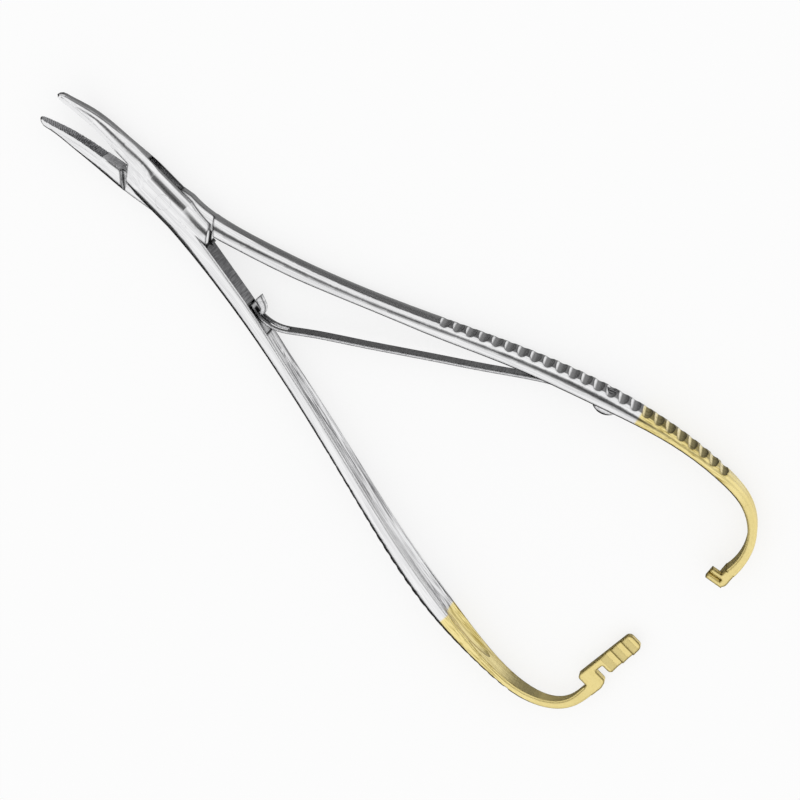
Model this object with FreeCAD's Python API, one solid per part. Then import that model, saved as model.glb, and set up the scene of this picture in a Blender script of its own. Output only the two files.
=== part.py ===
"""Plier-type surgical needle holder with a box lock, sprung handles and an end ratchet.

Both arms are drawn closed, with their gripping faces on the plane y = 0, and are
then swung apart about the pivot (the Z axis at the origin) to the open rest pose.
The box arm has its jaw on the +Y side and its handle on the -Y side; the tongue
arm is the other way round.  +X points to the handle ends.  Z = 0 is the surface
that the lock and the handles lie on, and the jaws curve up from it.
"""
import FreeCAD, Part
import math
import os
from FreeCAD import Vector

# Opening of the rest pose, each arm from the closed middle line, in degrees
HALF_OPEN = 5.45

# Box lock
LOCK_HEIGHT = 6.4
LOCK_HALF_WIDTH = 3.85
LOCK_CROWN_WIDTH = 2.8
LOCK_CROWN_DROP = 1.2
LOCK_FRONT = 10.4
LOCK_REAR = 12.0
SHOULDER_SLANT = 36.0
FRONT_SHOULDER_GAP = 0.4
REAR_SHOULDER_GAP = 0.12
MIDDLE_BLOCK_FRONT = 5.0
MIDDLE_BLOCK_REAR = 4.0
SLOT_HEIGHT = 2.1
SLOT_RADIUS = 8.9
SLOT_REAR_END = 13.6
SLOT_REAR_DEPTH = 0.6
TONGUE_CLEARANCE = 0.05
TONGUE_SIDE_CLEARANCE = 0.1
RELIEF_FRONT = -5.0
RELIEF_REAR = 1.5
RELIEF_DEPTH = 1.0
PIN_RADIUS = 1.6
PIN_RUNNING_CLEARANCE = 0.03

# Jaws
JAW_LENGTH = 30.3
JAW_CURVE_START = 17.5
JAW_CURVE_RADIUS = 22.0
GRIP_CLEARANCE = 0.03
INSERT_LENGTH = 15.0
INSERT_THICKNESS = 0.8
# distance from the pivot, thickness, height, width and drop of the crown
JAW_STATIONS = [
    (10.6, 3.7, 4.9, 1.9, 1.3),
    (15.0, 3.35, 4.4, 1.8, 1.3),
    (20.0, 2.75, 3.95, 1.1, 1.1),
    (25.0, 1.95, 3.4, 0.9, 0.9),
    (28.5, 1.45, 2.7, 0.7, 0.7),
]
# shares of the last stretch at which the rounded tip has its sections
TIP_SHARES = (0.45, 0.75, 0.92)

# Handles: reach along X and widest half spread along Y when closed
HANDLE_REACH = 138.0
HANDLE_SPREAD = 23.5
EDGE_BEVEL = 0.3
FLANK_SAG_SHARE = 0.05
LAP = 0.6
# share of the reach, share of the spread, thickness, height, width and drop of the crown
BOX_ARM_STATIONS = [
    (0.0884, 0.200, 4.25, 5.9, 2.40, 1.35),
    (0.1450, 0.244, 3.92, 5.7, 2.00, 1.40),
    (0.2100, 0.305, 3.66, 5.6, 1.85, 1.40),
    (0.3260, 0.445, 3.21, 6.0, 1.80, 1.55),
    (0.4350, 0.603, 3.39, 6.5, 1.90, 1.50),
    (0.5430, 0.768, 3.60, 7.0, 2.10, 1.30),
    (0.6670, 0.934, 3.97, 7.4, 2.45, 1.20),
    (0.7540, 0.996, 3.54, 7.3, 2.00, 1.35),
    (0.8260, 1.011, 2.55, 6.4, 1.50, 1.40),
    (0.8990, 0.978, 2.00, 5.1, 1.10, 1.25),
    (0.9475, 0.875, 1.80, 3.5, 0.60, 1.05),
    (0.9745, 0.735, 1.95, 2.7, 0.50, 0.81),
    (0.9845, 0.585, 2.20, 2.2, 0.40, 0.66),
    (0.9862, 0.440, 2.40, 1.8, 0.35, 0.54),
]
TONGUE_ARM_STATIONS = [
    (0.0884, 0.142, 3.45, 5.9, 2.40, 1.35),
    (0.1450, 0.181, 3.27, 5.7, 2.00, 1.40),
    (0.2100, 0.244, 3.21, 5.6, 1.85, 1.40),
    (0.3260, 0.394, 2.80, 6.0, 1.80, 1.55),
    (0.4350, 0.574, 3.20, 6.5, 1.90, 1.50),
    (0.5430, 0.761, 3.34, 7.0, 2.10, 1.30),
    (0.6670, 0.926, 3.55, 7.4, 2.45, 1.20),
    (0.7540, 0.983, 2.85, 7.3, 2.00, 1.35),
    (0.8260, 0.983, 2.32, 6.4, 1.50, 1.40),
    (0.8990, 0.944, 2.26, 5.1, 1.10, 1.25),
    (0.9457, 0.859, 2.10, 4.4, 0.80, 1.32),
    (0.9775, 0.702, 1.90, 4.2, 0.70, 1.26),
    (0.9950, 0.498, 1.75, 4.1, 0.60, 1.23),
    (0.9990, 0.338, 1.80, 4.0, 0.50, 1.20),
    (0.9975, 0.210, 2.00, 4.0, 0.40, 1.20),
]

# Finger scallops on both backs
SCALLOP_COUNT = 24
SCALLOP_START = 61.25
SCALLOP_PITCH = 2.76
SCALLOP_RADIUS = 1.25
SCALLOP_DEPTH = 0.7

# Hollow along the inner faces
HOLLOW_START = 37.0
HOLLOW_END = 118.0
HOLLOW_RUN_OUT = 6.0
HOLLOW_DEPTH = 0.7
HOLLOW_RIM = 0.8

# Ratchet: a toothed bar on the box arm, a hooked finger on the tongue arm
BAR_INNER_X = 130.9
BAR_OUTER_X = 134.8
BAR_THICKNESS = 1.8
BAR_TOP_ABOVE_MIDDLE = 0.4
BAR_ROOT_Y = -10.0
BAR_LAP = 0.3
BAR_TIP_Y = 5.1
BAR_TIP_RADIUS = 1.1
BAR_CORNER_RADIUS = 0.8
NOTCH_FLOOR_X = 132.4
NOTCH_OUTER_X = 135.5
NOTCH_FLOOR_RADIUS = 0.3
BEND_END_Y = -7.9
NOTCH_LOW_Y = -6.2
NOTCH_HIGH_Y = -4.1
FIRST_CREST_Y = -3.4
TOOTH_COUNT = 3
TOOTH_PITCH = 3.0
TOOTH_HEIGHT = 0.6
TOOTH_RAMP = 1.5
FINGER_TIP_X = 133.3
FINGER_LOW_Y = 1.45
FINGER_WIDTH = 2.4
GROOVE_Y = 2.7
GROOVE_WIDTH = 0.83
GROOVE_DEPTH = 0.5
FINGER_CLEARANCE = 0.06
END_CORNER_RADIUS = 1.4

# Leaf spring, the screw that holds it and the catch that its window hangs on
LEAF_WIDTH = 3.2
LEAF_THICKNESS = 0.6
WINDOW_WIDTH = 1.8
WINDOW_START = -1.2
WINDOW_END = 6.5
SEAT_SHARE = 0.6928
SEAT_SLOPE = 11.3
SEAT_DEPTH = 0.35
SEAT_REAR = 5.2
SEAT_FRONT = 12.5
LEAF_ROOT_REAR = 4.6
LEAF_ROOT_FRONT = 6.0
LEAF_SIDE_CLEARANCE = 0.3
SCREW_RADIUS = 1.2
SCREW_HEAD_RADIUS = 2.4
SCREW_HEAD_HEIGHT = 2.1
SCREW_DOME_HEIGHT = 1.0
SCREW_HOLE_CLEARANCE = 0.05
SCREW_HEAD_CLEARANCE = 0.02
SCREW_SLOT_WIDTH = 0.35
SCREW_SLOT_DEPTH = 0.4
SCREW_END_INSET = 0.6
CATCH_X = 29.15
CATCH_FACE_Y = -3.5
CATCH_SLOPE = -10.5
CATCH_WIDTH = 1.4
POCKET_FRONT = -2.6
POCKET_REAR = 4.6
POCKET_DEPTH = 0.55
POCKET_RIM = 0.45

MIDDLE = LOCK_HEIGHT / 2
LOCK_SIZES = (LOCK_HEIGHT, LOCK_CROWN_WIDTH, LOCK_CROWN_DROP)
FAR = 400.0
UP = Vector(0, 0, 1)


def prism(outline, low, high):
    """Straight-sided block over a plan outline, between two heights."""
    corners = [Vector(x, y, low) for x, y in outline]
    face = Part.Face(Part.makePolygon(corners + corners[:1]))
    return face.extrude(Vector(0, 0, high - low))


def block(x_range, y_range, z_range):
    """Plain block between pairs of limits."""
    size = [high - low for low, high in (x_range, y_range, z_range)]
    return Part.makeBox(*size, Vector(x_range[0], y_range[0], z_range[0]))


def section(outer, inward, up, thickness, height, crown_width, crown_drop):
    """Forging section: flat bevelled inner face, crowned top and bottom, nearly upright back."""
    half = height / 2
    bevel = min(EDGE_BEVEL, height / 6)
    sag = FLANK_SAG_SHARE * height
    shoulder = half - crown_drop
    turn = 2 * math.atan(crown_drop / (crown_width - sag))
    radius = (crown_width - sag) / math.sin(turn)
    middle_depth = crown_width - radius * math.sin(turn / 2)
    middle_rise = half - radius * (1 - math.cos(turn / 2))

    def at(depth, rise):
        return outer + inward * depth + up * rise

    corners = [
        at(crown_width, -half),
        at(thickness - bevel, -half),
        at(thickness, bevel - half),
        at(thickness, half - bevel),
        at(thickness - bevel, half),
        at(crown_width, half),
    ]
    edges = [Part.makeLine(a, b) for a, b in zip(corners, corners[1:])]
    arcs = [
        (corners[-1], at(middle_depth, middle_rise), at(sag, shoulder)),
        (at(sag, shoulder), at(0, 0), at(sag, -shoulder)),
        (at(sag, -shoulder), at(middle_depth, -middle_rise), corners[0]),
    ]
    edges += [Part.Arc(*points).toShape() for points in arcs]
    return Part.Wire(edges)


def handle_stations(shares):
    """Station list in millimetres: x, y, thickness, height, width and drop of the crown."""
    first = (MIDDLE_BLOCK_REAR, LOCK_HALF_WIDTH, LOCK_HALF_WIDTH + LAP) + LOCK_SIZES
    return [first] + [(row[0] * HANDLE_REACH, row[1] * HANDLE_SPREAD) + row[2:] for row in shares]


def stand(height):
    """Mid height of a handle where it is this high: the high stretches stand on z = 0."""
    return max(MIDDLE, height / 2)


def handle_path(stations, side):
    """Outer line of a handle in plan, at mid height."""
    points = [Vector(row[0], side * row[1], MIDDLE) for row in stations]
    curve = Part.BSplineCurve()
    curve.interpolate(points)
    return curve.toShape(), points


def inward_normal(path, place, side):
    """Level unit vector from a handle's back towards the middle line."""
    tangent = path.tangentAt(place)
    return Vector(tangent.y, -tangent.x, 0) * side


def handle_blank(stations, side, drop):
    """Handle as a loft of its stations; drop lowers the last ones, for the ratchet."""
    path, points = handle_path(stations, side)
    wires = []
    for index, (point, station) in enumerate(zip(points, stations)):
        inward = inward_normal(path, path.Curve.parameter(point), side)
        if index == 0:
            inward = Vector(0, -side, 0)
        rise = stand(station[3]) - MIDDLE - drop(index, len(stations))
        wires.append(section(point + UP * rise, inward, UP, *station[2:]))
    return Part.makeLoft(wires, True, False)


def jaw_frame(distance):
    """Point and up vector on the jaw's middle line, which curves up near the tip."""
    angle = max(0.0, distance - JAW_CURVE_START) / JAW_CURVE_RADIUS
    along = min(distance, JAW_CURVE_START) + JAW_CURVE_RADIUS * math.sin(angle)
    rise = JAW_CURVE_RADIUS * (1 - math.cos(angle))
    return Vector(-along, 0, MIDDLE + rise), Vector(math.sin(angle), 0, math.cos(angle))


def jaw_section(station, side):
    """Section of a jaw; its flat face stands a little past y = 0."""
    distance, thickness = station[:2]
    centre, up = jaw_frame(distance)
    outer = centre + Vector(0, side * thickness, 0)
    return section(outer, Vector(0, -side, 0), up, thickness + LAP, *station[2:])


def tip_stations():
    """Stations that close the jaw to a rounded tip."""
    distance, *sizes = JAW_STATIONS[-1]
    stations = [JAW_STATIONS[-1]]
    for share in TIP_SHARES:
        scale = math.sqrt(1 - share ** 2)
        reach = distance + (JAW_LENGTH - distance) * share
        stations.append((reach,) + tuple(size * scale for size in sizes))
    return stations


def jaw_blank(side):
    """Jaw from the lock's middle block to the tip."""
    lock = (MIDDLE_BLOCK_FRONT, LOCK_HALF_WIDTH) + LOCK_SIZES
    length = Part.makeLoft([jaw_section(s, side) for s in [lock] + JAW_STATIONS], True, False)
    tip = Part.makeLoft([jaw_section(s, side) for s in tip_stations()], True, True)
    return length.fuse(tip)


def middle_block():
    """The lock's straight middle, the same section on both sides."""
    halves = []
    for side in (1, -1):
        outer = Vector(-MIDDLE_BLOCK_FRONT, side * LOCK_HALF_WIDTH, MIDDLE)
        wire = section(outer, Vector(0, -side, 0), UP, LOCK_HALF_WIDTH + LAP, *LOCK_SIZES)
        halves.append(Part.Face(wire).extrude(Vector(MIDDLE_BLOCK_FRONT + MIDDLE_BLOCK_REAR, 0, 0)))
    return halves[0].fuse(halves[1])


def beyond_front_shoulder(gap, level):
    """Plan region ahead of the slanted front shoulder, on the -Y side of a level."""
    reach = 3 * LOCK_HALF_WIDTH
    run = reach * math.tan(math.radians(SHOULDER_SLANT))
    corner = -LOCK_FRONT - gap
    outline = [(-FAR, level), (corner, level), (corner + run, level - reach), (-FAR, level - reach)]
    return prism(outline, -FAR, FAR)


def beyond_rear_shoulder(gap, level):
    """Plan region behind the slanted rear shoulder, on the +Y side of a level."""
    reach = 10 * LOCK_HALF_WIDTH
    run = reach * math.tan(math.radians(SHOULDER_SLANT))
    corner = LOCK_REAR + gap
    outline = [(FAR, level), (corner, level), (corner - run, level + reach), (FAR, level + reach)]
    return prism(outline, -FAR, FAR)


def slot_space():
    """The slot between the cheeks: a round middle, open at the front and at the rear."""
    low = MIDDLE - SLOT_HEIGHT / 2
    high = MIDDLE + SLOT_HEIGHT / 2
    side = 2 * LOCK_HALF_WIDTH
    disc = Part.makeCylinder(SLOT_RADIUS, SLOT_HEIGHT, Vector(0, 0, low))
    front = block((-LOCK_FRONT - 1, 0), (-side, GRIP_CLEARANCE), (low, high))
    rear = block((0, SLOT_REAR_END), (-SLOT_REAR_DEPTH, side), (low, high))
    return disc.fuse([front, rear])


def tongue_space():
    """The tongue: the slot's shape less its clearances."""
    low = MIDDLE - SLOT_HEIGHT / 2 + TONGUE_CLEARANCE
    high = MIDDLE + SLOT_HEIGHT / 2 - TONGUE_CLEARANCE
    side = 2 * LOCK_HALF_WIDTH
    disc = Part.makeCylinder(SLOT_RADIUS - TONGUE_SIDE_CLEARANCE, high - low, Vector(0, 0, low))
    front = block((-LOCK_FRONT - 1, 0), (-side, -TONGUE_CLEARANCE), (low, high))
    rear = block((0, LOCK_REAR + 1), (TONGUE_CLEARANCE, side), (low, high))
    return disc.fuse([front, rear])


def tongue_relief():
    """Step back of the tongue's edge on the +Y side, which leaves a side slot open."""
    across = (LOCK_HALF_WIDTH - RELIEF_DEPTH, 2 * LOCK_HALF_WIDTH)
    return block((RELIEF_FRONT, RELIEF_REAR), across, (MIDDLE - SLOT_HEIGHT / 2, MIDDLE + SLOT_HEIGHT / 2))


def scallops(path, side):
    """Round cross grooves in a handle's back."""
    cutters = []
    for index in range(SCALLOP_COUNT):
        place = path.getParameterByLength(SCALLOP_START - MIDDLE_BLOCK_REAR + index * SCALLOP_PITCH)
        outward = inward_normal(path, place, side) * -1
        centre = path.valueAt(place) + outward * (SCALLOP_RADIUS - SCALLOP_DEPTH)
        base = Vector(centre.x, centre.y, -LOCK_HEIGHT)
        cutters.append(Part.makeCylinder(SCALLOP_RADIUS, 3 * LOCK_HEIGHT, base))
    return cutters


def size_at(stations, x, index):
    """Thickness or height of a handle at x, straight between its stations."""
    for near, far in zip(stations, stations[1:]):
        if near[0] <= x <= far[0]:
            share = (x - near[0]) / (far[0] - near[0])
            return near[index] + share * (far[index] - near[index])
    return stations[-1][index]


def hollow(path, stations, side):
    """Long shallow hollow in a handle's inner face, running out at both ends."""
    wires = []
    length = HOLLOW_END - HOLLOW_START
    middle = [length * share for share in (0.22, 0.4, 0.6, 0.78)]
    for along in [0.0, HOLLOW_RUN_OUT] + middle + [length - HOLLOW_RUN_OUT, length]:
        place = path.getParameterByLength(HOLLOW_START + along - MIDDLE_BLOCK_REAR)
        outer = path.valueAt(place)
        inward = inward_normal(path, place, side)
        fade = min(1.0, along / HOLLOW_RUN_OUT, (length - along) / HOLLOW_RUN_OUT)
        half = (size_at(stations, outer.x, 3) / 2 - HOLLOW_RIM) * max(0.2, fade)
        depth = HOLLOW_DEPTH * max(0.05, fade)
        face = outer + inward * size_at(stations, outer.x, 2)
        face.z = stand(size_at(stations, outer.x, 3))
        low = face - UP * half
        high = face + UP * half
        out = inward * 1.0
        edges = [
            Part.Arc(low, face - inward * depth, high).toShape(),
            Part.makeLine(high, high + out),
            Part.makeLine(high + out, low + out),
            Part.makeLine(low + out, low),
        ]
        wires.append(Part.Wire(edges))
    return Part.makeLoft(wires, True, False)


def bar_drop(index, count):
    """Lowers the box arm's last stations to the ratchet bar's level."""
    bar_middle = BAR_TOP_ABOVE_MIDDLE - BAR_THICKNESS / 2
    steps_from_end = count - 1 - index
    return max(0.0, 1 - steps_from_end / 4) * -bar_middle


def no_drop(index, count):
    """The tongue arm keeps its mid height all the way."""
    return 0.0


def rounded_prism(outline, low, high):
    """Block over a plan outline of (x, y, radius), each upright edge rounded by its radius."""
    body = prism([(x, y) for x, y, _ in outline], low, high)
    for x, y, radius in outline:
        if radius > 0:
            corner = Vector(x, y, (low + high) / 2)
            edge = min(body.Edges, key=lambda item: item.CenterOfMass.distanceToPoint(corner))
            body = body.makeFillet(radius, [edge])
    return body


def ratchet_bar():
    """Toothed bar with its release notch."""
    top = MIDDLE + BAR_TOP_ABOVE_MIDDLE
    low = top - BAR_THICKNESS
    reach, spread, thickness = BOX_ARM_STATIONS[-1][:3]
    bend_x = reach * HANDLE_REACH
    bend_y = -spread * HANDLE_SPREAD
    outline = [
        (bend_x - thickness, bend_y - BAR_LAP, 0),
        (bend_x - thickness, BAR_ROOT_Y, 0),
        (BAR_INNER_X, BAR_ROOT_Y, BAR_CORNER_RADIUS),
        (BAR_INNER_X, BAR_TIP_Y, BAR_TIP_RADIUS),
        (BAR_OUTER_X, BAR_TIP_Y, BAR_TIP_RADIUS),
        (BAR_OUTER_X, NOTCH_HIGH_Y, BAR_CORNER_RADIUS),
        (NOTCH_FLOOR_X, NOTCH_HIGH_Y, NOTCH_FLOOR_RADIUS),
        (NOTCH_FLOOR_X, NOTCH_LOW_Y, NOTCH_FLOOR_RADIUS),
        (NOTCH_OUTER_X, NOTCH_LOW_Y, BAR_CORNER_RADIUS),
        (bend_x, BEND_END_Y, 0),
        (bend_x, bend_y - BAR_LAP, 0),
    ]
    bar = rounded_prism(outline, low, top)
    for index in range(TOOTH_COUNT):
        crest = FIRST_CREST_Y + index * TOOTH_PITCH
        valley = [
            Vector(BAR_INNER_X - 1, crest, top),
            Vector(BAR_INNER_X - 1, crest + TOOTH_RAMP, top - TOOTH_HEIGHT),
            Vector(BAR_INNER_X - 1, crest + TOOTH_PITCH, top - TOOTH_HEIGHT),
            Vector(BAR_INNER_X - 1, crest + TOOTH_PITCH, top + 1),
            Vector(BAR_INNER_X - 1, crest, top + 1),
        ]
        cutter = Part.Face(Part.makePolygon(valley + valley[:1]))
        bar = bar.cut(cutter.extrude(Vector(BAR_OUTER_X - BAR_INNER_X + 2, 0, 0)))
    return bar


def ratchet_finger():
    """End of the tongue arm: a rounded corner and the hooked finger over the bar."""
    reach, spread, thickness, height = TONGUE_ARM_STATIONS[-1][:4]
    end_x = reach * HANDLE_REACH
    end_y = spread * HANDLE_SPREAD
    low = MIDDLE - height / 2
    high = MIDDLE + height / 2
    inner_x = end_x - thickness
    centre = Vector(end_x - END_CORNER_RADIUS, FINGER_LOW_Y + END_CORNER_RADIUS, low)
    corner = END_CORNER_RADIUS * math.sqrt(0.5)
    points = [
        Vector(inner_x, end_y + 0.2, low),
        Vector(inner_x, FINGER_LOW_Y, low),
        Vector(centre.x, FINGER_LOW_Y, low),
        Vector(end_x, centre.y, low),
        Vector(end_x, end_y + 0.2, low),
    ]
    edges = [
        Part.makeLine(points[0], points[1]),
        Part.makeLine(points[1], points[2]),
        Part.Arc(points[2], centre + Vector(corner, -corner, 0), points[3]).toShape(),
        Part.makeLine(points[3], points[4]),
        Part.makeLine(points[4], points[0]),
    ]
    end = Part.Face(Part.Wire(edges)).extrude(UP * height)
    finger_low = MIDDLE + BAR_TOP_ABOVE_MIDDLE + FINGER_CLEARANCE
    across = (FINGER_LOW_Y, FINGER_LOW_Y + FINGER_WIDTH)
    finger = block((FINGER_TIP_X, end_x - 0.5), across, (finger_low, high))
    start = FINGER_TIP_X - 1
    groove = [
        Vector(start, GROOVE_Y - GROOVE_WIDTH / 2, high),
        Vector(start, GROOVE_Y, high - GROOVE_DEPTH),
        Vector(start, GROOVE_Y + GROOVE_WIDTH / 2, high),
    ]
    groove = Part.Face(Part.makePolygon(groove + groove[:1]))
    return end.fuse(finger).cut(groove.extrude(Vector(centre.x - start, 0, 0)))


def pin_bore(radius):
    """Round cutter on the pivot axis."""
    return Part.makeCylinder(radius, 3 * LOCK_HEIGHT, Vector(0, 0, -LOCK_HEIGHT))


def insert_space(side):
    """Space of a jaw's hard pad, behind its gripping face."""
    face = side * GRIP_CLEARANCE
    back = side * (GRIP_CLEARANCE + INSERT_THICKNESS)
    start = INSERT_LENGTH - JAW_LENGTH
    return block((-FAR, start), tuple(sorted((face, back))), (-FAR, FAR))


def catch_frame():
    """Placement of the catch on the box arm's inner face: X along it, Y out of it."""
    turn = FreeCAD.Rotation(UP, CATCH_SLOPE)
    return FreeCAD.Placement(Vector(CATCH_X, CATCH_FACE_Y, MIDDLE), turn)


def catch_pocket():
    """Recess under the leaf's free end."""
    half = BOX_ARM_STATIONS[2][3] / 2 - POCKET_RIM
    pocket = block((POCKET_FRONT, POCKET_REAR), (-POCKET_DEPTH, 3), (-half, half))
    pocket.Placement = catch_frame()
    return pocket


def spring_catch():
    """Hooked lug that stands in the pocket, its mouth towards the joint."""
    floor = -POCKET_DEPTH
    points = {
        "rear_foot": (0.95, floor),
        "rear": (0.95, 0.8),
        "shoulder": (0.45, 1.9),
        "crown": (-0.9, 2.6),
        "tip_top": (-2.7, 2.95),
        "tip_low": (-2.55, 1.5),
        "throat": (-0.95, 1.25),
        "throat_turn": (-0.28, 1.05),
        "front": (0.0, 0.6),
        "front_foot": (0.0, floor),
    }
    place = {name: Vector(x, y, -CATCH_WIDTH / 2) for name, (x, y) in points.items()}
    edges = [
        Part.makeLine(place["rear_foot"], place["rear"]),
        Part.Arc(place["rear"], place["shoulder"], place["crown"]).toShape(),
        Part.makeLine(place["crown"], place["tip_top"]),
        Part.makeLine(place["tip_top"], place["tip_low"]),
        Part.makeLine(place["tip_low"], place["throat"]),
        Part.Arc(place["throat"], place["throat_turn"], place["front"]).toShape(),
        Part.makeLine(place["front"], place["front_foot"]),
        Part.makeLine(place["front_foot"], place["rear_foot"]),
    ]
    lug = Part.Face(Part.Wire(edges)).extrude(UP * CATCH_WIDTH)
    lug.Placement = catch_frame()
    return lug


def seat_frame(stations):
    """Placement on the spring's seat at the screw: X along it, Y out of the handle."""
    x = SEAT_SHARE * HANDLE_REACH
    path, _ = handle_path(stations, 1)
    outer = [path.valueAt(path.FirstParameter + k * (path.LastParameter - path.FirstParameter) / 400)
             for k in range(401)]
    nearest = min(outer, key=lambda point: abs(point.x - x))
    inner_y = nearest.y - size_at(stations, x, 2)
    turn = FreeCAD.Rotation(UP, SEAT_SLOPE)
    return FreeCAD.Placement(Vector(x, inner_y + SEAT_DEPTH, MIDDLE), turn)


def spring_seat(stations):
    """Flat milled for the spring's root in the tongue arm's inner face."""
    half = LEAF_WIDTH / 2 + LEAF_SIDE_CLEARANCE
    seat = block((-SEAT_FRONT, SEAT_REAR), (-4, 0), (-half, half))
    seat.Placement = seat_frame(stations)
    return seat


def screw_axis_cylinder(stations, radius, start, length):
    """Round bar on the spring screw's axis, from a height over the seat."""
    bar = Part.makeCylinder(radius, length, Vector(0, start, 0), Vector(0, 1, 0))
    bar.Placement = seat_frame(stations)
    return bar


def swing(shape, side):
    """Turns a closed part to the rest pose: side is that of its handle."""
    turned = shape.copy()
    turned.rotate(Vector(0, 0, 0), UP, side * HALF_OPEN)
    return turned


def swing_point(point, side):
    """The same turn for one point."""
    return FreeCAD.Rotation(UP, side * HALF_OPEN).multVec(point)


def leaf_line(stations):
    """Middle line of the leaf in the rest pose, free end first."""
    catch = catch_frame()
    seat = seat_frame(stations)
    half = LEAF_THICKNESS / 2
    on_catch = [(-2.1, 0.0), (0.2, 0.16), (2.1, 0.44), (3.7, 1.05), (5.0, 1.95)]
    free = [swing_point(catch.multVec(Vector(x, y, 0)), -1) for x, y in on_catch]
    root = (-LEAF_ROOT_FRONT, -LEAF_ROOT_FRONT / 2, 0.0, LEAF_ROOT_REAR)
    held = [swing_point(seat.multVec(Vector(x, -half, 0)), 1) for x in root]
    bend = swing_point(seat.multVec(Vector(-23.0, -3.9, 0)), 1)
    start = free[-1]
    straight = [start + (bend - start) * share for share in (0.12, 0.35, 0.7)]
    return free + straight + [bend] + held


def leaf_spring(stations):
    """Leaf of even thickness along its middle line, with the catch's window."""
    middle = Part.BSplineCurve()
    middle.interpolate(leaf_line(stations))
    first, last = middle.FirstParameter, middle.LastParameter
    count = 22
    sides = ([], [])
    for k in range(count + 1):
        place = first + (last - first) * k / count
        point = middle.value(place)
        tangent = middle.tangent(place)[0]
        normal = Vector(-tangent.y, tangent.x, 0)
        for line, sign in zip(sides, (1, -1)):
            line.append(point + normal * (sign * LEAF_THICKNESS / 2) - UP * (LEAF_WIDTH / 2))
    curves = []
    for line in sides:
        curve = Part.BSplineCurve()
        curve.interpolate(line)
        curves.append(curve.toShape())
    ends = [Part.makeLine(sides[0][k], sides[1][k]) for k in (0, -1)]
    outline = Part.Wire(Part.__sortEdges__([curves[0], ends[1], curves[1], ends[0]]))
    leaf = Part.Face(outline).extrude(UP * LEAF_WIDTH)
    half = WINDOW_WIDTH / 2
    window = block((WINDOW_START, WINDOW_END), (-3, 7), (-half, half))
    window.Placement = catch_frame()
    hole = screw_axis_cylinder(stations, SCREW_RADIUS + SCREW_HOLE_CLEARANCE, -3, 6)
    return leaf.cut([swing(window, -1), swing(hole, 1)])


def spring_screw(stations):
    """Domed head on the leaf, shank through the handle, slotted end in a scallop."""
    x = SEAT_SHARE * HANDLE_REACH
    through = size_at(stations, x, 2) - SEAT_DEPTH - SCREW_END_INSET
    dome_radius = (SCREW_HEAD_RADIUS ** 2 + SCREW_DOME_HEIGHT ** 2) / (2 * SCREW_DOME_HEIGHT)
    dome = Part.makeSphere(dome_radius, Vector(0, dome_radius - SCREW_HEAD_HEIGHT, 0))
    head = Part.makeCylinder(SCREW_HEAD_RADIUS, SCREW_HEAD_HEIGHT, Vector(0, 0, 0), Vector(0, -1, 0))
    head = head.common(dome)
    head.translate(Vector(0, -LEAF_THICKNESS - SCREW_HEAD_CLEARANCE, 0))
    under_head = LEAF_THICKNESS + SCREW_HEAD_CLEARANCE
    shank = Part.makeCylinder(SCREW_RADIUS, through + under_head, Vector(0, -under_head, 0),
                              Vector(0, 1, 0))
    slot = block((-3, 3), (through - SCREW_SLOT_DEPTH, through + 1),
                 (-SCREW_SLOT_WIDTH / 2, SCREW_SLOT_WIDTH / 2))
    screw = head.fuse(shank).cut(slot)
    screw.Placement = seat_frame(stations)
    return screw


def box_arm(stations, other_stations):
    """Upper jaw, the box with its two cheeks and slot, handle and ratchet bar."""
    path, _ = handle_path(stations, -1)
    handle = handle_blank(stations, -1, bar_drop)
    handle = handle.cut(scallops(path, -1) + [hollow(path, stations, -1)])
    cheeks = [jaw_blank(-1), middle_block(), handle_blank(other_stations, 1, no_drop)]
    arm = jaw_blank(1).fuse(cheeks)
    arm = arm.cut(beyond_front_shoulder(0, GRIP_CLEARANCE))
    arm = arm.cut(beyond_rear_shoulder(0, -TONGUE_CLEARANCE))
    arm = arm.fuse([handle, ratchet_bar()])
    return arm.cut([slot_space(), pin_bore(PIN_RADIUS), catch_pocket()])


def tongue_arm(stations):
    """Lower jaw, the tongue through the box, handle and hooked finger."""
    path, _ = handle_path(stations, 1)
    handle = handle_blank(stations, 1, no_drop)
    handle = handle.cut(scallops(path, 1) + [hollow(path, stations, 1)])
    blank = jaw_blank(-1).fuse([middle_block(), handle])
    kept = beyond_front_shoulder(FRONT_SHOULDER_GAP, -GRIP_CLEARANCE)
    kept = kept.fuse([beyond_rear_shoulder(REAR_SHOULDER_GAP, TONGUE_CLEARANCE), tongue_space()])
    arm = blank.common(kept).fuse(ratchet_finger())
    screw_hole = screw_axis_cylinder(stations, SCREW_RADIUS + SCREW_HOLE_CLEARANCE, -5, 12)
    bore = pin_bore(PIN_RADIUS + PIN_RUNNING_CLEARANCE)
    return arm.cut([bore, tongue_relief(), spring_seat(stations), screw_hole])


def pivot_pin():
    """Plain pin, ground flush with both cheeks."""
    return Part.makeCylinder(PIN_RADIUS, LOCK_HEIGHT).common(middle_block())


def one_solid(shape):
    """The single solid of a boolean result."""
    return shape.removeSplitter().Solids[0]


def build():
    """Every piece by node name, in the rest pose."""
    box_stations = handle_stations(BOX_ARM_STATIONS)
    tongue_stations = handle_stations(TONGUE_ARM_STATIONS)
    upper = box_arm(box_stations, tongue_stations)
    lower = tongue_arm(tongue_stations)
    nodes = {
        "box_arm": swing(upper.cut(insert_space(1)), -1),
        "box_jaw_insert": swing(upper.common(insert_space(1)), -1),
        "pivot_pin": pivot_pin(),
        "spring_catch": swing(spring_catch(), -1),
        "tongue_arm": swing(lower.cut(insert_space(-1)), 1),
        "tongue_jaw_insert": swing(lower.common(insert_space(-1)), 1),
        "leaf_spring": leaf_spring(tongue_stations),
        "spring_screw": swing(spring_screw(tongue_stations), 1),
    }
    return nodes


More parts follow.
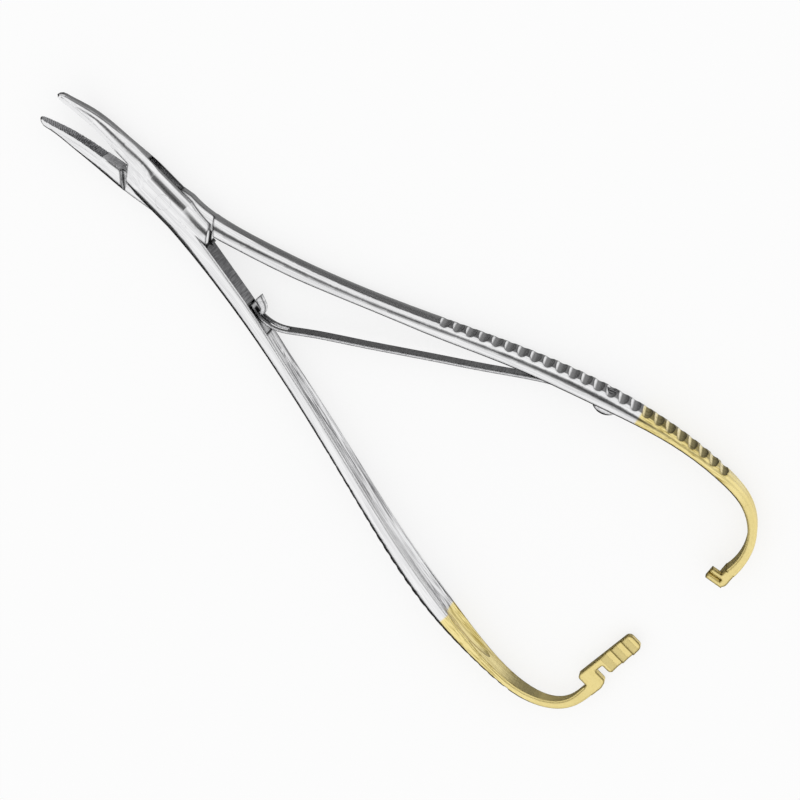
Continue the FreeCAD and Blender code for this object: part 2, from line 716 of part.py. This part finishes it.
os.makedirs("parts", exist_ok=True)
for name, shape in build().items():
    print(name, "solids", len(shape.Solids), "volume %.1f" % shape.Volume, "valid", shape.isValid())
    one_solid(shape).exportStep("parts/%s.step" % name)
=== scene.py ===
"""Look of the needle holder: materials, spring, jaw pads, studio and camera.

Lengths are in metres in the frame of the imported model: +X to the handle ends,
+Y to the tongue arm's handle, +Z up.  The arms' materials work in the closed
arms' own coordinates, turned back by the angle that each arm stands open.
"""
import bpy
import bmesh
import math
from mathutils import Matrix, Vector

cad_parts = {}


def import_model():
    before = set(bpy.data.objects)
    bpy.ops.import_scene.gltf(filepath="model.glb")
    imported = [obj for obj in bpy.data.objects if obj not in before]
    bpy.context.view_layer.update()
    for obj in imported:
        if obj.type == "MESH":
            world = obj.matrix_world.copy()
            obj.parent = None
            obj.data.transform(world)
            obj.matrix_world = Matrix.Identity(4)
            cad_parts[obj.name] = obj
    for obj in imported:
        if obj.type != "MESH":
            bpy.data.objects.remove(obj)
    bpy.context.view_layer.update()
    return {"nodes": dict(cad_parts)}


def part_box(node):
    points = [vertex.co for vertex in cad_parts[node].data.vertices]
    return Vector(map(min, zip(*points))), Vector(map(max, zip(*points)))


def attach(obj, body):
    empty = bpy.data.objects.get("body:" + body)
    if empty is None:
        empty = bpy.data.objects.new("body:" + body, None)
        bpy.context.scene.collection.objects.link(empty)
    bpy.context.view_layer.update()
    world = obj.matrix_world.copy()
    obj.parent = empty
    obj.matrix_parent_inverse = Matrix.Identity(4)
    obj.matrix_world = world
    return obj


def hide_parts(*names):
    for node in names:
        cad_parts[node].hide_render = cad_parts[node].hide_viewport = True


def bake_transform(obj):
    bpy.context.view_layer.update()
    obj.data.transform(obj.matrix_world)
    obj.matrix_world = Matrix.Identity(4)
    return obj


MM = 0.001
HALF_OPEN = math.radians(5.45)
BOX_BODY = "box_arm_body"
TONGUE_BODY = "tongue_arm_body"

# Side of the middle line, in Y, that each arm's handle lies on
BOX_SIDE = -1
TONGUE_SIDE = 1

# Camera of the photograph
CAMERA_TARGET = Vector((62.29, -0.29, 4.0)) * MM
CAMERA_TILT = math.radians(23.14)
CAMERA_AZIMUTH = math.radians(99.91)
CAMERA_ROLL = math.radians(42.05)
CAMERA_DISTANCE = 0.4
CAMERA_LENS = 88.16
CAMERA_SENSOR = 36.0
CAMERA_CLIP = 0.01

# Line that the brush marks follow: its stretch in X, and its distance from the middle line at both ends
PATH_START = 5.0 * MM
PATH_END = 115.0 * MM
PATH_NEAR = 3.0 * MM
PATH_FAR = 22.5 * MM

# Brush marks: noise cells per metre along the arm, across it and up
LONG_FINE = (120, 5200, 5200)
LONG_WIDE = (40, 1300, 1300)
CROSS_FINE = (4200, 4200, 260)
SPRING_MARKS = (3800, 3800, 240)
GRAIN_SCALE = 9000.0
PATCH_SCALE = 700.0
PAD_GRAIN_SCALE = 6000.0
NOISE_ROUGHNESS = 0.55
FINE_DETAIL = 4.0
PATCH_DETAIL = 3.0
WIDE_DETAIL = 2.0
LONG_FINE_SHARE = 0.6
SPRING_MARKS_SHARE = 0.7

# Noise values between which a tone goes from its dark to its light colour
STREAK_SPAN = (0.35, 0.65)
CROSS_SPAN = (0.3, 0.7)
# Next: streaks of the painted shade on the inner faces in the hollow
HOLLOW_STREAK_SPAN = (0.38, 0.56)
RUB_SPAN = (0.34, 0.54)
RUB_GRAIN_SPAN = (0.05, 0.5)
SPRING_SPAN = (0.32, 0.68)

# Faces, told by how far the normal points across the instrument
INNER_FACING = (0.80, 0.92)
GRIP_FACING = (0.9, 0.97)
PAD_FACING = (0.2, 0.45)

# Stretches in X over which the finish and the painted shade change
PAD_BACK = (-14.5 * MM, -13.5 * MM)
GRIP_BACK = (-10.5 * MM, -9.5 * MM)
INNER_START = (10.0 * MM, 12.0 * MM)
HOLLOW_START = (28.5 * MM, 32.0 * MM)
GOLD_BORDER = (102.0 * MM, 102.6 * MM)
GOLD_BEND = (122.0 * MM, 126.0 * MM)
BAR_START = (127.0 * MM, 130.0 * MM)
BORDER_GRAIN = 0.4 * MM

STEEL_LIGHT = (0.90, 0.90, 0.905)
STEEL_DARK = (0.74, 0.74, 0.75)
# Painted shade on the handles' inner faces: dark near the lock, dark and light streaks in the hollow
# further back
INNER_SHADE_LIGHT = (0.42, 0.42, 0.43)
INNER_SHADE_DARK = (0.14, 0.14, 0.15)
HOLLOW_SHADE_LIGHT = (0.86, 0.86, 0.87)
HOLLOW_SHADE_DARK = (0.07, 0.07, 0.075)
GRIP_LIGHT = (0.85, 0.85, 0.86)
GRIP_DARK = (0.55, 0.55, 0.56)
GOLD_LIGHT = (0.91, 0.77, 0.35)
GOLD_DARK = (0.36, 0.26, 0.04)
SPRING_LIGHT = (0.90, 0.90, 0.91)
SPRING_DARK = (0.50, 0.50, 0.51)
PAD_LIGHT = (0.46, 0.46, 0.47)
PAD_DARK = (0.20, 0.20, 0.21)
# Painted shade: dark lines along sharp edges (steel, gold), then dark in gaps (steel, gold)
EDGE_PAINTED_SHADE = (0.03, 0.03, 0.032)
EDGE_PAINTED_SHADE_GOLD = (0.16, 0.11, 0.02)
GAP_PAINTED_SHADE = (0.02, 0.02, 0.022)
GAP_PAINTED_SHADE_GOLD = (0.20, 0.14, 0.02)
FLOOR_COLOUR = (0.9, 0.9, 0.9)
WHITE = (1.0, 1.0, 1.0)

# Roughness from the dark to the light tone, and what the ratchet's end and the gripping face add
STREAK_ROUGHNESS = (0.26, 0.17)
SPRING_ROUGHNESS = (0.3, 0.18)
PAD_ROUGHNESS = (0.2, 0.3)
BAR_DULLNESS = 0.3
GRIP_DULLNESS = 0.3
GRIP_METALLIC = 0.5
MARK_DEPTH = 0.02 * MM
MARK_STRENGTH = 0.6
SPRING_MARK_DEPTH = 0.015 * MM
SPRING_MARK_STRENGTH = 0.5

# Edges and gaps: rounded normals, and the painted shade on sharp edges and in gaps
EDGE_SAMPLES = 6
EDGE_RADIUS = 0.16 * MM
EDGE_SHADE_RADIUS = 0.7 * MM
EDGE_SHADE_SPAN = (0.89, 0.997)
PIN_SPAN = (2.0 * MM, 2.4 * MM)
GAP_SHADE_REACH = 1.5 * MM
OPEN_SPAN = (0.20, 0.60)

# Jaws, as in the model: curved up about an axis across the instrument
JAW_MIDDLE = 3.2 * MM
JAW_CURVE_START = 17.5 * MM
JAW_CURVE_RADIUS = 22.0 * MM
GRIP_FACE = 0.03 * MM
TOOTH_PITCH = 0.42 * MM
TOOTH_DEPTH = 0.16 * MM
PAD_START = 14.5 * MM
PAD_END = 31.0 * MM
PAD_HALF_HEIGHT = 3.0 * MM
MERGE_DISTANCE = 0.0005 * MM
FACE_TOLERANCE = 0.004 * MM
LINE_TOLERANCE = 0.02

# Surroundings that only reflections show: levels, and the directions they lie in
VIEW_DARK = 0.04
VIEW_SPOT = (math.radians(11), math.radians(31))
TABLE_DARK = 0.08
TABLE_GREY = 0.22
TABLE_BRIGHT = 0.9
TABLE_NEAR = (-0.42, -0.08)
TABLE_FAR = (0.12, 0.30)
TABLE_FRONT = (-0.36, -0.24)
BEHIND_DARK = 0.012
BACK_AXIS = (0.0, -0.927, -0.375)
BACK_SPOT = (math.radians(33), math.radians(46))
HORIZON = (-0.35, -0.15)
HORIZON_TILT = 0.19

FLOOR_SIZE = 3.0
FLOOR_GAP = 0.05 * MM
FLOOR_SHADOW = 0.25


def opaque(colour):
    """A colour with full alpha."""
    return colour + (1.0,)


class Nodes:
    """Small builder for the nodes of a material or a world."""

    def __init__(self, owner):
        owner.use_nodes = True
        self.owner = owner
        self.tree = owner.node_tree

    @property
    def shader(self):
        """A material's main shader."""
        return self.tree.nodes["Principled BSDF"]

    def add(self, kind, inputs=None, **settings):
        """New node with settings; inputs may be values or other nodes' sockets."""
        node = self.tree.nodes.new(kind)
        for key, value in settings.items():
            setattr(node, key, value)
        for key, value in (inputs or {}).items():
            self.link(value, node.inputs[key])
        return node

    def link(self, value, socket):
        """Joins a socket, or writes a plain value."""
        if isinstance(value, bpy.types.NodeSocket):
            self.tree.links.new(value, socket)
        else:
            socket.default_value = value

    def math(self, operation, a, b=0.0):
        """One math operation."""
        return self.add("ShaderNodeMath", {0: a, 1: b}, operation=operation).outputs[0]

    def total(self, a, b):
        """Sum of two values."""
        return self.math("ADD", a, b)

    def product(self, a, b):
        """Product of two values."""
        return self.math("MULTIPLY", a, b)

    def blend(self, share, a, b):
        """A fixed share of one value and the rest of another."""
        return self.total(self.product(a, share), self.product(b, 1.0 - share))

    def mix(self, share, a, b):
        """Colour mix; a colour is a socket or three numbers."""
        node = self.add("ShaderNodeMix", {0: share}, data_type="RGBA")
        for index, value in ((6, a), (7, b)):
            self.link(opaque(value) if isinstance(value, tuple) else value, node.inputs[index])
        return node.outputs[2]

    def ramp(self, value, low, high, to_low=0.0, to_high=1.0):
        """Maps a range smoothly to a range."""
        inputs = {"Value": value, "From Min": low, "From Max": high, "To Min": to_low, "To Max": to_high}
        return self.add("ShaderNodeMapRange", inputs, interpolation_type="SMOOTHSTEP").outputs[0]

    def falling(self, value, low, high):
        """1 below a range, falling smoothly to 0 above it."""
        return self.math("SUBTRACT", 1.0, self.ramp(value, low, high))

    def noise(self, vector, scale, detail):
        """Noise value."""
        inputs = {"Vector": vector, "Scale": scale, "Detail": detail, "Roughness": NOISE_ROUGHNESS}
        return self.add("ShaderNodeTexNoise", inputs).outputs["Fac"]

    def stretched(self, vector, cells, detail):
        """Noise value with its own number of cells per metre along each axis."""
        scaled = self.add("ShaderNodeMapping", {"Vector": vector, "Scale": cells}).outputs[0]
        return self.noise(scaled, 1.0, detail)

    def rounded(self, radius):
        """Normal over edges that are rounded by a radius."""
        return self.add("ShaderNodeBevel", {"Radius": radius}, samples=EDGE_SAMPLES).outputs[0]

    def dot(self, a, b):
        """Dot product of two vectors."""
        return self.add("ShaderNodeVectorMath", {0: a, 1: b}, operation="DOT_PRODUCT").outputs["Value"]

    def bump(self, height, distance, strength):
        """Sets the shader's normal from a height, over edges that are a little rounded."""
        normal = self.rounded(EDGE_RADIUS)
        inputs = {"Height": height, "Distance": distance, "Strength": strength, "Normal": normal}
        self.link(self.add("ShaderNodeBump", inputs).outputs[0], self.shader.inputs["Normal"])

    def off_shaded_edges(self):
        """0 on a sharp edge and 1 a little way from it: where painted shade draws dark edge lines."""
        flat = self.add("ShaderNodeNewGeometry").outputs["Normal"]
        return self.ramp(self.dot(self.rounded(EDGE_SHADE_RADIUS), flat), *EDGE_SHADE_SPAN)

    def unshaded_share(self, distance):
        """How open a place is, from 0 deep in a gap to 1 in the open; it sets where painted shade
        darkens gaps.
        """
        node = self.add("ShaderNodeAmbientOcclusion", {"Distance": distance}, samples=EDGE_SAMPLES)
        return self.ramp(node.outputs["AO"], *OPEN_SPAN)

    def metal(self, colour, roughness, metallic=1.0):
        """Sets the shader to bare metal."""
        self.link(colour, self.shader.inputs["Base Color"])
        self.link(roughness, self.shader.inputs["Roughness"])
        self.link(metallic, self.shader.inputs["Metallic"])


def new_material(name):
    """Nodes of a new material."""
    return Nodes(bpy.data.materials.new(name))


def new_object(name, data):
    """New object in the scene."""
    obj = bpy.data.objects.new(name, data)
    bpy.context.scene.collection.objects.link(obj)
    return obj


def paint(obj, material):
    """One material on the whole piece."""
    obj.data.materials.clear()
    obj.data.materials.append(material)


def arm_space(nodes, side):
    """Place and normal in the closed arm's frame, as separate numbers."""
    source = nodes.add("ShaderNodeTexCoord")
    values = []
    for output in ("Object", "Normal"):
        inputs = {"Vector": source.outputs[output], "Angle": -side * HALF_OPEN}
        turned = nodes.add("ShaderNodeVectorRotate", inputs, rotation_type="Z_AXIS")
        values.append(nodes.add("ShaderNodeSeparateXYZ", {0: turned.outputs[0]}).outputs)
    return values


def along_arm(nodes, place, side):
    """Coordinates that follow the handle: along it, across it and up, in metres."""
    sweep = nodes.ramp(place[0], PATH_START, PATH_END, PATH_NEAR * side, PATH_FAR * side)
    across = nodes.math("SUBTRACT", place[1], sweep)
    return nodes.add("ShaderNodeCombineXYZ", {0: place[0], 1: across, 2: place[2]}).outputs[0]


def brush_marks(nodes, flow):
    """Brush marks along the arm and across it."""
    fine = nodes.stretched(flow, LONG_FINE, FINE_DETAIL)
    wide = nodes.stretched(flow, LONG_WIDE, WIDE_DETAIL)
    return nodes.blend(LONG_FINE_SHARE, fine, wide), nodes.stretched(flow, CROSS_FINE, FINE_DETAIL)


def inner_face(nodes, place, inward):
    """1 on the handle's face towards the other handle, behind the lock."""
    return nodes.product(nodes.ramp(inward, *INNER_FACING), nodes.ramp(place[0], *INNER_START))


def grip_face(nodes, place, facing):
    """1 on the jaw's face towards the other jaw, ahead of the lock."""
    return nodes.product(nodes.ramp(facing, *GRIP_FACING), nodes.falling(place[0], *GRIP_BACK))


def arm_steel(nodes, place, inner, grip, marks, streak):
    """Steel's colour: bright outside; painted shade on the inner faces, dark near the lock and streaked
    dark and light further back.
    """
    lengthwise, crosswise = marks
    back = nodes.ramp(place[0], *HOLLOW_START)
    light = nodes.mix(back, INNER_SHADE_LIGHT, HOLLOW_SHADE_LIGHT)
    dark = nodes.mix(back, INNER_SHADE_DARK, HOLLOW_SHADE_DARK)
    # Streaks that pick the painted shade's dark or light tone on the inner faces
    shade_streaks = nodes.mix(back, streak, nodes.ramp(lengthwise, *HOLLOW_STREAK_SPAN))
    outside = nodes.mix(streak, STEEL_DARK, STEEL_LIGHT)
    steel = nodes.mix(inner, outside, nodes.mix(shade_streaks, dark, light))
    ground = nodes.mix(nodes.ramp(crosswise, *CROSS_SPAN), GRIP_DARK, GRIP_LIGHT)
    return nodes.mix(grip, steel, ground)


def arm_gold(nodes, place, lengthwise, grain):
    """Gold's colour, rubbed along the handle and evenly grainy behind the bend."""
    bend = nodes.ramp(place[0], *GOLD_BEND)
    rub = nodes.mix(bend, nodes.ramp(lengthwise, *RUB_SPAN), nodes.ramp(grain, *RUB_GRAIN_SPAN))
    return nodes.mix(rub, GOLD_DARK, GOLD_LIGHT)


def with_painted_shade(nodes, place, gilt, colour):
    """The colour with painted shade: dark lines on sharp edges and dark in gaps; the flush pin and the
    jaws beside the pads get no edge lines.
    """
    level = nodes.add("ShaderNodeCombineXYZ", {0: place[0], 1: place[1]}).outputs[0]
    radial = nodes.add("ShaderNodeVectorMath", {0: level}, operation="LENGTH").outputs["Value"]
    spared = nodes.math("MAXIMUM", nodes.falling(radial, *PIN_SPAN), nodes.falling(place[0], *PAD_BACK))
    # Painted shade: dark lines on sharp edges, kept off the flush pin and the jaws beside the pads
    clear = nodes.math("MAXIMUM", nodes.off_shaded_edges(), spared)
    colour = nodes.mix(clear, nodes.mix(gilt, EDGE_PAINTED_SHADE, EDGE_PAINTED_SHADE_GOLD), colour)
    # Painted shade: dark deep in gaps and slots
    return nodes.mix(nodes.unshaded_share(GAP_SHADE_REACH), nodes.mix(gilt, GAP_PAINTED_SHADE, GAP_PAINTED_SHADE_GOLD), colour)


def arm_roughness(nodes, place, grip, streak):
    """Glossier on the light streaks, duller on the ratchet's end and the gripping face."""
    rough = nodes.ramp(streak, 0.0, 1.0, *STREAK_ROUGHNESS)
    bar = nodes.ramp(place[0], *BAR_START, 0.0, BAR_DULLNESS)
    return nodes.total(rough, nodes.total(bar, nodes.product(grip, GRIP_DULLNESS)))


def arm_metal(name, side):
    """Brushed steel with cross-brushed inner faces and gilt ends, with painted shade on the inner faces,
    on sharp edges and in gaps.
    """
    nodes = new_material(name)
    place, normal = arm_space(nodes, side)
    flow = along_arm(nodes, place, side)
    lengthwise, crosswise = brush_marks(nodes, flow)
    grain = nodes.noise(flow, GRAIN_SCALE, WIDE_DETAIL)
    inner = inner_face(nodes, place, nodes.product(normal[1], -side))
    grip = grip_face(nodes, place, nodes.product(normal[1], side))
    streak = nodes.mix(inner, nodes.ramp(lengthwise, *STREAK_SPAN), nodes.ramp(crosswise, *CROSS_SPAN))
    steel = arm_steel(nodes, place, inner, grip, (lengthwise, crosswise), streak)
    gold = arm_gold(nodes, place, lengthwise, grain)
    ragged = nodes.total(place[0], nodes.product(grain, BORDER_GRAIN))
    gilt = nodes.ramp(ragged, *GOLD_BORDER)
    colour = with_painted_shade(nodes, place, gilt, nodes.mix(gilt, steel, gold))
    rough = arm_roughness(nodes, place, grip, streak)
    nodes.metal(colour, rough, nodes.ramp(grip, 0.0, 1.0, 1.0, GRIP_METALLIC))
    nodes.bump(nodes.mix(inner, lengthwise, crosswise), MARK_DEPTH, MARK_STRENGTH)
    return nodes.owner


def spring_metal(name):
    """Ground and lightly polished spring steel, with fine cross marks, and painted shade as dark lines
    on its sharp edges.
    """
    nodes = new_material(name)
    place = nodes.add("ShaderNodeTexCoord").outputs["Object"]
    marks = nodes.stretched(place, SPRING_MARKS, FINE_DETAIL)
    patches = nodes.noise(place, PATCH_SCALE, PATCH_DETAIL)
    tone = nodes.ramp(nodes.blend(SPRING_MARKS_SHARE, marks, patches), *SPRING_SPAN)
    colour = nodes.mix(tone, SPRING_DARK, SPRING_LIGHT)
    # Painted shade: dark lines on sharp edges
    colour = nodes.mix(nodes.off_shaded_edges(), EDGE_PAINTED_SHADE, colour)
    nodes.metal(colour, nodes.ramp(tone, 0.0, 1.0, *SPRING_ROUGHNESS))
    nodes.bump(marks, SPRING_MARK_DEPTH, SPRING_MARK_STRENGTH)
    return nodes.owner


def pad_metal(name, side):
    """Dull hard-metal gripping face; the pad's other sides are ground with the jaw."""
    nodes = new_material(name)
    normal = arm_space(nodes, side)[1]
    place = nodes.add("ShaderNodeTexCoord").outputs["Object"]
    grain = nodes.noise(place, PAD_GRAIN_SCALE, FINE_DETAIL)
    grip = nodes.ramp(nodes.product(normal[1], side), *PAD_FACING)
    steel = nodes.mix(grain, STEEL_DARK, STEEL_LIGHT)
    dull = nodes.mix(nodes.ramp(grain, *CROSS_SPAN), PAD_DARK, PAD_LIGHT)
    nodes.metal(nodes.mix(grip, steel, dull), nodes.ramp(grip, 0.0, 1.0, *PAD_ROUGHNESS))
    return nodes.owner


def flexing_leaf(frame, material):
    """The leaf, from its root on one arm to its free end on the other, as a copy of the model's leaf in
    spring steel.
    """
    leaf = new_object("leaf_spring_flexing", frame["nodes"]["leaf_spring"].data.copy())
    paint(leaf, material)
    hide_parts("leaf_spring")
    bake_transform(leaf)


def unbent(place):
    """A jaw's point laid straight: distance from the pivot, across, height over the middle."""
    distance = -place.x
    if distance <= JAW_CURVE_START:
        return Vector((distance, place.y, place.z - JAW_MIDDLE))
    ahead = distance - JAW_CURVE_START
    below = JAW_MIDDLE + JAW_CURVE_RADIUS - place.z
    turned = math.atan2(ahead, below)
    along = JAW_CURVE_START + JAW_CURVE_RADIUS * turned
    return Vector((along, place.y, JAW_CURVE_RADIUS - math.hypot(ahead, below)))


def bent(place):
    """The same point back on the curved jaw."""
    if place.x <= JAW_CURVE_START:
        return Vector((-place.x, place.y, place.z + JAW_MIDDLE))
    turned = (place.x - JAW_CURVE_START) / JAW_CURVE_RADIUS
    radius = JAW_CURVE_RADIUS - place.z
    ahead = JAW_CURVE_START + radius * math.sin(turned)
    return Vector((-ahead, place.y, JAW_MIDDLE + JAW_CURVE_RADIUS - radius * math.cos(turned)))


def on_crest(value):
    """1 for a coordinate on a crest line, 0 on a valley line and a half on neither."""
    steps = value / (TOOTH_PITCH / 2)
    nearest = round(steps)
    if abs(steps - nearest) > LINE_TOLERANCE:
        return 0.5
    return 1.0 if nearest % 2 == 0 else 0.0


def tooth_planes():
    """A point and a normal of each plane through a crest or valley line of the straight pad."""
    half = TOOTH_PITCH / 2
    for index in range(round(PAD_START / half), round(PAD_END / half)):
        yield Vector((index * half, 0, 0)), Vector((1, 0, 0))
    rows = round(PAD_HALF_HEIGHT / half)
    for index in range(-rows, rows + 1):
        yield Vector((0, 0, index * half)), Vector((0, 0, 1))


def cut_teeth(mesh, side):
    """Cuts rows of small pyramids into the straight pad's gripping face."""
    face_y = -side * GRIP_FACE

    def on_face(vertex):
        return abs(vertex.co.y - face_y) < FACE_TOLERANCE

    for point, direction in tooth_planes():
        faces = [face for face in mesh.faces if all(map(on_face, face.verts))]
        edges = list(dict.fromkeys(edge for face in faces for edge in face.edges))
        verts = list(dict.fromkeys(vertex for face in faces for vertex in face.verts))
        bmesh.ops.bisect_plane(mesh, geom=verts + edges + faces, plane_co=point, plane_no=direction,
                               dist=MERGE_DISTANCE)
    for vertex in mesh.verts:
        if on_face(vertex):
            crest = on_crest(vertex.co.x) * on_crest(vertex.co.z)
            vertex.co.y -= side * TOOTH_DEPTH * (1 - crest)


def toothed_pad(frame, node, body, side, material):
    """Pad with a toothed gripping face; side is its arm's handle side."""
    pad = new_object(node + "_toothed", frame["nodes"][node].data.copy())
    paint(pad, material)
    closing = Matrix.Rotation(-side * HALF_OPEN, 4, "Z")
    opening = closing.inverted()
    mesh = bmesh.new()
    mesh.from_mesh(pad.data)
    bmesh.ops.remove_doubles(mesh, verts=mesh.verts, dist=MERGE_DISTANCE)
    for vertex in mesh.verts:
        vertex.co = unbent(closing @ vertex.co)
    cut_teeth(mesh, side)
    for vertex in mesh.verts:
        vertex.co = opening @ bent(vertex.co)
    bmesh.ops.triangulate(mesh, faces=mesh.faces)
    for face in mesh.faces:
        face.smooth = False
    mesh.to_mesh(pad.data)
    mesh.free()
    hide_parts(node)
    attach(pad, body)


def toward_camera():
    """Unit vector from the instrument to the camera."""
    return Vector((math.sin(CAMERA_TILT) * math.cos(CAMERA_AZIMUTH),
                   math.sin(CAMERA_TILT) * math.sin(CAMERA_AZIMUTH),
                   math.cos(CAMERA_TILT)))


def away_from(nodes, direction, axis):
    """Angle between a direction and an axis."""
    return nodes.math("ARCCOSINE", nodes.dot(direction, axis))


def surroundings(nodes, direction):
    """Brightness of the studio in a direction: light tent, dark camera side and grey table."""
    place = nodes.add("ShaderNodeSeparateXYZ", {0: direction}).outputs
    near = nodes.ramp(place[0], *TABLE_NEAR, TABLE_DARK, TABLE_GREY)
    table = nodes.total(near, nodes.ramp(place[0], *TABLE_FAR, 0.0, TABLE_BRIGHT - TABLE_GREY))
    table = nodes.product(table, nodes.ramp(place[1], *TABLE_FRONT))
    table = nodes.math("MAXIMUM", table, BEHIND_DARK)
    height = nodes.total(place[2], nodes.product(place[1], HORIZON_TILT))
    tent = nodes.ramp(away_from(nodes, direction, toward_camera()), *VIEW_SPOT, VIEW_DARK, 1.0)
    behind = nodes.ramp(away_from(nodes, direction, BACK_AXIS), *BACK_SPOT, BEHIND_DARK, 1.0)
    low_part = nodes.product(table, nodes.falling(height, *HORIZON))
    high_part = nodes.product(nodes.product(tent, behind), nodes.ramp(height, *HORIZON))
    return nodes.total(low_part, high_part)


def studio():
    """White surroundings, with dark parts that only reflections show."""
    world = bpy.data.worlds.new("studio")
    bpy.context.scene.world = world
    nodes = Nodes(world)
    world.cycles.sampling_method = "NONE"
    direction = nodes.add("ShaderNodeTexCoord").outputs["Generated"]
    glossy = nodes.add("ShaderNodeLightPath").outputs["Is Glossy Ray"]
    level = nodes.mix(glossy, WHITE, surroundings(nodes, direction))
    nodes.link(level, nodes.tree.nodes["Background"].inputs["Color"])


def floor():
    """Plain white floor that takes a soft shadow; metal shows the studio instead of it."""
    half = FLOOR_SIZE / 2
    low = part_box("box_arm")[0].z - FLOOR_GAP
    corners = [(-half, -half, low), (half, -half, low), (half, half, low), (-half, half, low)]
    mesh = bpy.data.meshes.new("floor")
    mesh.from_pydata(corners, [], [(0, 1, 2, 3)])
    obj = new_object("floor", mesh)
    nodes = new_material("floor")
    matte = nodes.add("ShaderNodeBsdfDiffuse", {"Color": opaque(FLOOR_COLOUR)})
    white = nodes.add("ShaderNodeEmission", {"Color": opaque(WHITE), "Strength": 1.0})
    seen = nodes.add("ShaderNodeLightPath").outputs["Is Camera Ray"]
    share = nodes.product(seen, 1.0 - FLOOR_SHADOW)
    both = nodes.add("ShaderNodeMixShader", {0: share, 1: matte.outputs[0], 2: white.outputs[0]})
    nodes.link(both.outputs[0], nodes.tree.nodes["Material Output"].inputs["Surface"])
    paint(obj, nodes.owner)
    obj.visible_glossy = False


def camera():
    """The photograph's camera."""
    toward = toward_camera()
    right = Vector((0, 1, 0)).cross(toward).normalized()
    upward = toward.cross(right)
    turned_right = right * math.cos(CAMERA_ROLL) + upward * math.sin(CAMERA_ROLL)
    turned_up = upward * math.cos(CAMERA_ROLL) - right * math.sin(CAMERA_ROLL)
    data = bpy.data.cameras.new("photo_camera")
    data.lens = CAMERA_LENS
    data.sensor_width = CAMERA_SENSOR
    data.clip_start = CAMERA_CLIP
    obj = new_object("photo_camera", data)
    place = Matrix.Translation(CAMERA_TARGET + toward * CAMERA_DISTANCE)
    obj.matrix_world = place @ Matrix((turned_right, turned_up, toward)).transposed().to_4x4()
    bpy.context.scene.camera = obj


def main():
    """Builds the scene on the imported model."""
    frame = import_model()
    camera()
    studio()
    floor()
    box_steel = arm_metal("box_arm_steel", BOX_SIDE)
    tongue_steel = arm_metal("tongue_arm_steel", TONGUE_SIDE)
    spring_steel = spring_metal("spring_steel")
    finishes = {
        "box_arm": box_steel,
        "pivot_pin": box_steel,
        "tongue_arm": tongue_steel,
        "spring_catch": spring_steel,
        "spring_screw": spring_steel,
    }
    for node, material in finishes.items():
        paint(frame["nodes"][node], material)
    box_pad = pad_metal("box_pad_metal", BOX_SIDE)
    tongue_pad = pad_metal("tongue_pad_metal", TONGUE_SIDE)
    toothed_pad(frame, "box_jaw_insert", BOX_BODY, BOX_SIDE, box_pad)
    toothed_pad(frame, "tongue_jaw_insert", TONGUE_BODY, TONGUE_SIDE, tongue_pad)
    flexing_leaf(frame, spring_steel)
    bpy.context.scene.view_settings.view_transform = "Standard"


main()
